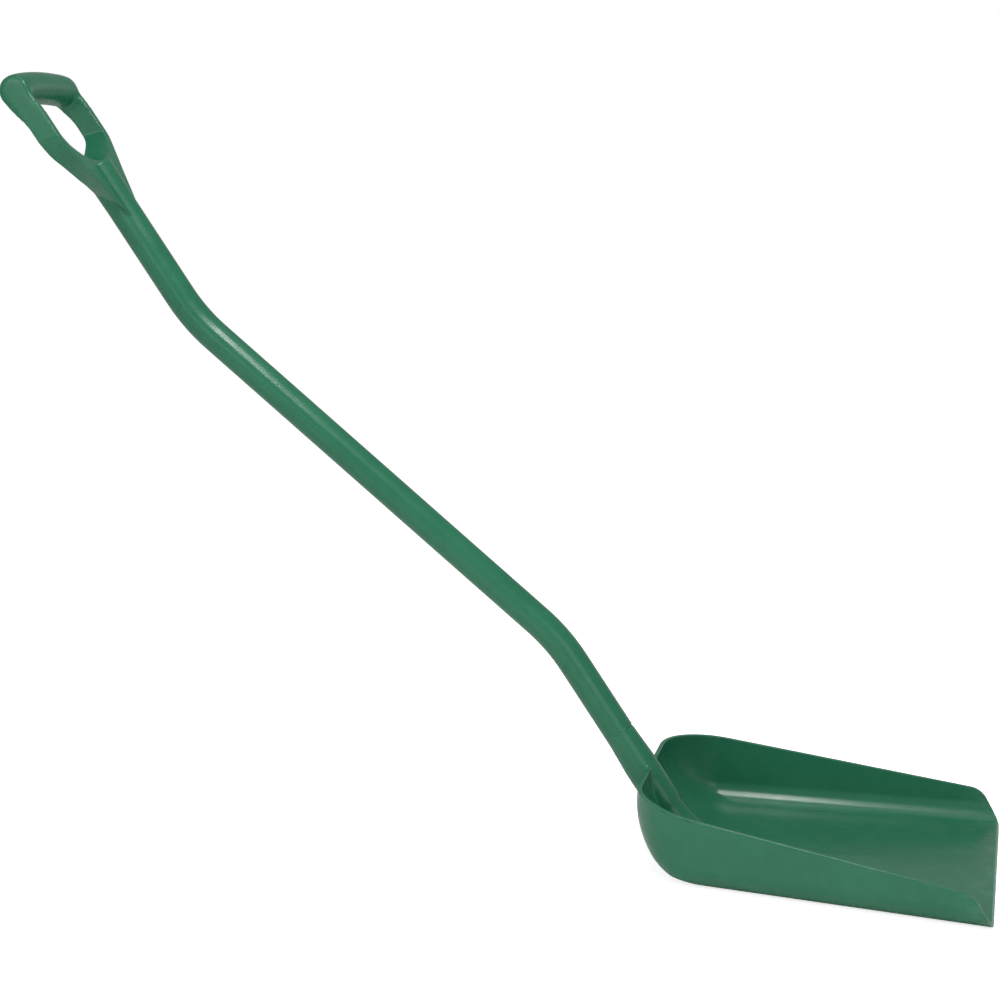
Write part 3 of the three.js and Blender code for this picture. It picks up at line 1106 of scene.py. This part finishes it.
class Wiring:
    """Adds and links the nodes of one node tree."""

    def __init__(self, tree: bpy.types.NodeTree) -> None:
        """Works on a node tree."""
        self.tree = tree

    def link(self, value: object, socket: bpy.types.NodeSocket) -> None:
        """Feeds a socket from another socket, or sets it to a plain value.

        Args:
            value: The other socket or the value.
            socket: The input that is fed or set.
        """
        if isinstance(value, bpy.types.NodeSocket):
            self.tree.links.new(value, socket)
        else:
            socket.default_value = value

    def add(self, kind: str, inputs: dict, **settings: object) -> bpy.types.Node:
        """Adds a node.

        Args:
            kind: The node's type.
            inputs: Values or sockets for its inputs, by name or number.
            settings: Values for the node's own properties.

        Returns:
            The node.
        """
        node = self.tree.nodes.new(kind)
        for key, value in settings.items():
            setattr(node, key, value)
        for key, value in inputs.items():
            self.link(value, node.inputs[key])
        return node

    def noise(self, vector: bpy.types.NodeSocket, scale: float, detail: float) -> bpy.types.NodeSocket:
        """A cloudy value about one half.

        Args:
            vector: The coordinates.
            scale: How many features there are in a unit of them.
            detail: How many finer layers are added.

        Returns:
            The value's socket.
        """
        node = self.add("ShaderNodeTexNoise", {"Vector": vector, "Scale": scale, "Detail": detail})
        return node.outputs["Fac"]

    def ramp(
        self, value: object, start: float, end: float, low: float = 0.0, high: float = 1.0
    ) -> bpy.types.NodeSocket:
        """A value remapped smoothly and clamped.

        Args:
            value: The socket that is remapped.
            start: The value that gives low.
            end: The value that gives high.
            low: The result at the start.
            high: The result at the end.

        Returns:
            The result's socket.
        """
        inputs = {"Value": value, "From Min": start, "From Max": end, "To Min": low, "To Max": high}
        return self.add("ShaderNodeMapRange", inputs, interpolation_type="SMOOTHSTEP").outputs["Result"]

    def math(self, how: str, *values: object) -> bpy.types.NodeSocket:
        """Two or three values combined by an operation of the Math node."""
        return self.add("ShaderNodeMath", dict(enumerate(values)), operation=how).outputs[0]

    def blend(self, first: object, second: object, share: float) -> bpy.types.NodeSocket:
        """The sum of two values, of which the second has the given share."""
        parts = (self.math("MULTIPLY", first, 1 - share), self.math("MULTIPLY", second, share))
        return self.math("ADD", *parts)

    def mix(self, share: object, first: object, second: object) -> bpy.types.NodeSocket:
        """Two colours mixed.

        Args:
            share: The second colour's share.
            first: The first colour.
            second: The second colour.

        Returns:
            The result's socket.
        """
        inputs = {"Factor": share, "A": first, "B": second}
        node = self.tree.nodes.new("ShaderNodeMix")
        node.data_type = "RGBA"
        sockets = {socket.name: socket for socket in node.inputs if socket.enabled}
        for key, value in inputs.items():
            self.link(value, sockets[key])
        return next(socket for socket in node.outputs if socket.enabled)


class SharedGroups:
    """Node groups that several finishes use, each made once."""

    @staticmethod
    def begin(name: str, masks: Sequence[str]) -> tuple[Wiring, bpy.types.NodeSocket, bpy.types.Node]:
        """Starts a group that makes masks from coordinates.

        Args:
            name: Its name.
            masks: The names of its outputs.

        Returns:
            The group's wiring, the socket of its coordinates and its output node.
        """
        tree = bpy.data.node_groups.new(name, "ShaderNodeTree")
        tree.interface.new_socket(name="Vector", in_out="INPUT", socket_type="NodeSocketVector")
        for mask in masks:
            tree.interface.new_socket(name=mask, in_out="OUTPUT", socket_type="NodeSocketFloat")
        source, sink = tree.nodes.new("NodeGroupInput"), tree.nodes.new("NodeGroupOutput")
        return Wiring(tree), source.outputs["Vector"], sink

    @staticmethod
    def moulding() -> bpy.types.NodeTree:
        """Colour drift, fine grain and flow marks of a moulding, from coordinates in metres.

        Returns:
            The group, with the outputs Drift, Grain and Flow.
        """
        wiring, place, sink = SharedGroups.begin("moulding_surface", ("Drift", "Grain", "Flow"))
        broad, cloudy = wiring.noise(place, 9.0, 2.0), wiring.noise(place, 70.0, 3.0)
        drift = wiring.blend(broad, cloudy, 0.35)
        wiring.link(wiring.ramp(drift, 0.38, 0.62), sink.inputs["Drift"])
        fine, coarse = wiring.noise(place, 1900.0, 1.0), wiring.noise(place, 420.0, 2.0)
        grain = wiring.blend(fine, coarse, 0.45)
        wiring.link(grain, sink.inputs["Grain"])
        drawn = wiring.add("ShaderNodeMapping", {"Vector": place, "Scale": (2.5, 90.0, 90.0)})
        flow = wiring.noise(drawn.outputs["Vector"], 1.0, 3.0)
        wiring.link(wiring.ramp(flow, 0.35, 0.65), sink.inputs["Flow"])
        return wiring.tree

    @staticmethod
    def scuffs() -> bpy.types.NodeTree:
        """Fine scratches in two directions and rubbed patches, from coordinates in metres.

        Returns:
            The group, with the outputs Scratches and Rubbed.
        """
        wiring, place, sink = SharedGroups.begin("scuff_marks", ("Scratches", "Rubbed"))
        masks = []
        for turn, along, across in ((0.12, 9.0, 700.0), (-0.35, 14.0, 520.0)):
            turned = wiring.add(
                "ShaderNodeMapping",
                {"Vector": place, "Rotation": (0.0, 0.0, turn), "Scale": (along, across, across)},
            )
            line = wiring.noise(turned.outputs["Vector"], 1.0, 1.0)
            masks.append(wiring.ramp(line, 0.66, 0.74))
        wiring.link(wiring.math("MAXIMUM", *masks), sink.inputs["Scratches"])
        wiring.link(wiring.ramp(wiring.noise(place, 55.0, 4.0), 0.46, 0.66), sink.inputs["Rubbed"])
        return wiring.tree


@dataclass(frozen=True)
class WearAndHighlightBand:
    """A stretch of a piece painted pale: wear from use, and at the scoop's lip edge a painted highlight."""

    axis: tuple[float, float, float]  # direction in which the pale band grows
    start: float  # metres along it where the band starts
    full: float  # and where it is full
    strength: float
    even: float = 0.3  # share of the paling that covers the whole band evenly


@dataclass(frozen=True)
class MouldedPlastic:
    """Satin moulded polypropylene in one solid colour, with drift, grain, flow marks, wear and painted
    highlight bands.
    """

    name: str
    colour: tuple[float, float, float] = (0.022, 0.158, 0.084)
    shade: tuple[float, float, float] = (0.018, 0.143, 0.075)
    # Pale colour of wear, also used for the painted highlight along the lip edge
    worn_and_highlight: tuple[float, float, float] = (0.19, 0.34, 0.27)
    gloss: float = 0.20  # lowest roughness
    matt: float = 0.26  # highest roughness of unworn plastic
    worn_matt: float = 0.35  # what the full wear-and-highlight mask adds to the roughness
    grain: float = 0.035  # strength of the fine grain
    grain_depth: float = 0.0002
    rubbed_share: float = 0.6  # how pale rubbed patches are beside scratches
    stray_scratches: float = 0.02  # how pale scratches are outside the bands
    flow: float = 0.25  # how much flow marks change the roughness, as a share
    flow_turn: float = 0.0  # turn of the flow marks about Y, in radians
    bands: tuple[WearAndHighlightBand, ...] = ()

    def wear_and_highlight(
        self, wiring: Wiring, place: bpy.types.NodeSocket, scuffs: bpy.types.Node
    ) -> bpy.types.NodeSocket:
        """How pale each spot is painted: wear, and the painted highlight bands.

        Args:
            wiring: The material's wiring.
            place: The object coordinates.
            scuffs: The node of the scuff group.

        Returns:
            A socket from 0 to 1.
        """
        scratches, rubbed = scuffs.outputs["Scratches"], scuffs.outputs["Rubbed"]
        marks = wiring.math("MAXIMUM", scratches, wiring.math("MULTIPLY", rubbed, self.rubbed_share))
        total = wiring.math("MULTIPLY", scratches, self.stray_scratches)
        # Each band paints its stretch pale; the scoop's lip-edge band is a painted highlight, not wear.
        for band in self.bands:
            along = wiring.add("ShaderNodeVectorMath", {0: place, 1: band.axis}, operation="DOT_PRODUCT")
            inside = wiring.ramp(along.outputs["Value"], band.start, band.full, 0.0, band.strength)
            spots = wiring.math("MULTIPLY_ADD", marks, 1.0 - band.even, band.even)
            total = wiring.math("MAXIMUM", total, wiring.math("MULTIPLY", inside, spots))
        return total

    def build(self) -> bpy.types.Material:
        """The finish as a node material.

        Returns:
            The material.
        """
        material = bpy.data.materials.new(self.name)
        material.use_nodes = True
        wiring = Wiring(material.node_tree)
        shader = material.node_tree.nodes["Principled BSDF"]
        place = wiring.add("ShaderNodeTexCoord", {}).outputs["Object"]
        turned = wiring.add("ShaderNodeMapping", {"Vector": place, "Rotation": (0.0, self.flow_turn, 0.0)})
        groups = bpy.data.node_groups
        surface = wiring.add("ShaderNodeGroup", {}, node_tree=groups["moulding_surface"])
        scuffs = wiring.add("ShaderNodeGroup", {}, node_tree=groups["scuff_marks"])
        for node in (surface, scuffs):
            wiring.link(turned.outputs["Vector"], node.inputs["Vector"])
        wear_and_highlight = self.wear_and_highlight(wiring, place, scuffs)
        plain = wiring.mix(surface.outputs["Drift"], (*self.shade, 1), (*self.colour, 1))
        wiring.link(wiring.mix(wear_and_highlight, plain, (*self.worn_and_highlight, 1)), shader.inputs["Base Color"])
        span = self.matt - self.gloss
        flow = wiring.ramp(surface.outputs["Flow"], 0.0, 1.0, self.gloss, self.gloss + span * self.flow)
        drift = wiring.ramp(surface.outputs["Drift"], 0.0, 1.0, span * (1 - self.flow), 0.0)
        unworn = wiring.math("ADD", flow, drift)
        wiring.link(wiring.math("MULTIPLY_ADD", wear_and_highlight, self.worn_matt, unworn), shader.inputs["Roughness"])
        relief = {"Strength": self.grain, "Distance": self.grain_depth, "Height": surface.outputs["Grain"]}
        bump = wiring.add("ShaderNodeBump", relief)
        wiring.link(bump.outputs["Normal"], shader.inputs["Normal"])
        shader.inputs["IOR"].default_value = 1.49
        shader.inputs["Specular IOR Level"].default_value = 0.38
        return material


# ---- Studio --------------------------------------------------------------------------------------


@dataclass(frozen=True)
class Softbox:
    """A rectangular lamp."""

    name: str
    place: tuple[float, float, float]
    target: tuple[float, float, float]  # what it points at
    size: Pair  # width and height
    power: float  # watts

    def build(self) -> None:
        """Hangs the lamp at its place, pointing at its target."""
        data = bpy.data.lights.new(self.name, "AREA")
        data.shape = "RECTANGLE"
        data.size, data.size_y = self.size
        data.energy = self.power
        lamp = bpy.data.objects.new(self.name, data)
        lamp.location = self.place
        lamp.rotation_euler = (Vector(self.target) - Vector(self.place)).to_track_quat("-Z", "Y").to_euler()
        bpy.context.scene.collection.objects.link(lamp)


@dataclass
class Studio:
    """A plain pale floor, soft light from all round, softboxes and the camera."""

    azimuth: float = math.radians(11.72)
    elevation: float = math.radians(11.37)
    roll: float = math.radians(2.47)
    camera_place: tuple[float, float, float] = (0.13264, -2.42319, 0.84136)
    lens: float = 88.33
    floor_half: float = 30.0
    floor_drop: float = 0.0002  # how far the floor lies under the sole
    surroundings: float = 0.27  # strength of the light from above
    horizon: float = 0.62  # strength of the light from low down all round
    paper_glow: float = 0.76

    MIDDLE = (-0.2, 0.0, 0.2)
    LAMPS = (
        Softbox("overhead_strip", (-0.06, -0.90, 1.9), (-0.06, -0.90, 0.0), (0.22, 1.3), 23.0),
        Softbox("front_left", (-1.6, -2.4, 1.4), MIDDLE, (1.6, 1.6), 18.0),
        Softbox("front_right", (1.6, -2.4, 1.2), MIDDLE, (1.6, 1.6), 9.0),
        Softbox("top", (-0.3, 0.2, 3.0), (-0.3, 0.0, 0.2), (2.0, 2.0), 11.5),
    )

    def camera(self) -> None:
        """The camera, turned a little about its own axis by its roll."""
        data = bpy.data.cameras.new("camera")
        data.lens = self.lens
        data.sensor_width = 36.0
        data.clip_end = 200.0
        camera = bpy.data.objects.new("camera", data)
        bpy.context.scene.collection.objects.link(camera)
        az, el, roll = self.azimuth, self.elevation, self.roll
        ahead = Vector((-math.sin(az) * math.cos(el), math.cos(az) * math.cos(el), -math.sin(el)))
        right = Vector((math.cos(az), math.sin(az), 0))
        down = ahead.cross(right)
        image_right = right * math.cos(roll) - down * math.sin(roll)
        image_down = right * math.sin(roll) + down * math.cos(roll)
        turn = Matrix((image_right, -image_down, -ahead)).transposed().to_4x4()
        camera.matrix_world = Matrix.Translation(self.camera_place) @ turn
        bpy.context.scene.camera = camera

    def world(self) -> None:
        """Even dim surroundings, white where the camera looks past the floor."""
        world = bpy.data.worlds.new("studio")
        bpy.context.scene.world = world
        world.use_nodes = True
        wiring = Wiring(world.node_tree)
        background = world.node_tree.nodes["Background"]
        background.inputs["Color"].default_value = (1, 1, 1, 1)
        place = wiring.add("ShaderNodeTexCoord", {}).outputs["Generated"]
        height = wiring.add("ShaderNodeSeparateXYZ", {"Vector": place}).outputs["Z"]
        low_sky, high_sky = 0.10, 0.36
        sky = wiring.ramp(height, low_sky, high_sky, self.horizon, self.surroundings)
        seen = wiring.add("ShaderNodeLightPath", {}).outputs["Is Camera Ray"]
        wiring.link(wiring.math("MAXIMUM", seen, sky), background.inputs["Strength"])

    def floor(self) -> None:
        """The floor: a wide plane, pale and matt."""
        Bench.clear()
        bpy.ops.mesh.primitive_plane_add(size=2 * self.floor_half, location=(0, 0, -self.floor_drop))
        floor = Bench.settle("floor")
        material = bpy.data.materials.new("floor_paper")
        material.use_nodes = True
        shader = material.node_tree.nodes["Principled BSDF"]
        shader.inputs["Base Color"].default_value = (0.9, 0.9, 0.9, 1)
        shader.inputs["Roughness"].default_value = 0.9
        shader.inputs["Specular IOR Level"].default_value = 0.0
        shader.inputs["Emission Color"].default_value = (1, 1, 1, 1)
        # The paper glows for the camera only, so that it is white but keeps a faint contact shadow.
        wiring = Wiring(material.node_tree)
        seen = wiring.add("ShaderNodeLightPath", {}).outputs["Is Camera Ray"]
        wiring.link(wiring.ramp(seen, 0.0, 1.0, 0.0, self.paper_glow), shader.inputs["Emission Strength"])
        floor.data.materials.append(material)

    def build(self) -> None:
        """Everything that isn't the object."""
        bpy.context.scene.view_settings.view_transform = "Standard"
        self.camera()
        self.world()
        self.floor()
        for lamp in self.LAMPS:
            lamp.build()


# ---- Assembly ------------------------------------------------------------------------------------


def middle_of(node: str) -> Vector:
    """The middle of a CAD node's box.

    Args:
        node: The node's name.

    Returns:
        The middle.
    """
    low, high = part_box(node)
    return (low + high) / 2


def place(piece: bpy.types.Object, node: str, slot: str, finish: bpy.types.Material) -> None:
    """Dresses a piece and lets it stand for a CAD node.

    Args:
        piece: The finished mesh object.
        node: The CAD node that it replaces.
        slot: The record's material slot of its finish; it is not used.
        finish: Its material.
    """
    piece.data.materials.clear()
    piece.data.materials.append(finish)
    piece.name = piece.data.name = f"{node}_moulding"
    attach(piece, "root")
    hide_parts(node)
    piece.data.calc_loop_triangles()
    LOG.info("%s: %d triangles", piece.name, len(piece.data.loop_triangles))


def main() -> None:
    """Builds the shovel and the studio around it."""
    logging.basicConfig(level=logging.INFO, format="%(name)s: %(message)s")
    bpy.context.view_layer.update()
    line = ShaftLine(middle_of("lower_weld_bead"), middle_of("upper_weld_bead"))
    Studio().build()
    SharedGroups.moulding()
    SharedGroups.scuffs()
    lip_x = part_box("scoop")[1].x
    scoop_bands = (
        # Painted highlight: an evenly pale strip along the rounded lip edge, with a little wear in it. The
        # two bands after it are wear.
        WearAndHighlightBand((1, 0, 0), lip_x - 0.0030, lip_x - 0.0016, 1.0, even=0.85),
        WearAndHighlightBand((1, 0, 0), lip_x - 0.060, lip_x, 0.22, even=0.0),
        WearAndHighlightBand((0, 0, -1), -0.006, 0.0, 0.35, even=0.2),
    )
    scoop_finish = MouldedPlastic("scoop_plastic", bands=scoop_bands).build()
    place(Scoop(line, lip_x).build(), "scoop", "scoop_plastic", scoop_finish)
    shaft_finish = MouldedPlastic("shaft_plastic", flow=0.8, flow_turn=line.middle_angle).build()
    place(ShaftTube(line).build(), "shaft_tube", "shaft_plastic", shaft_finish)
    grip_finish = MouldedPlastic("grip_plastic", gloss=0.24, matt=0.32).build()
    place(DGrip(line).build(), "d_grip", "grip_plastic", grip_finish)
    weld_finish = MouldedPlastic("weld_plastic", gloss=0.28, matt=0.36, grain=0.08).build()
    for name, spot in (("lower_weld_bead", line.lower_weld), ("upper_weld_bead", line.upper_weld)):
        place(WeldBead(line, name, spot).build(), name, "weld_plastic", weld_finish)


if __name__ == "__main__":
    main()
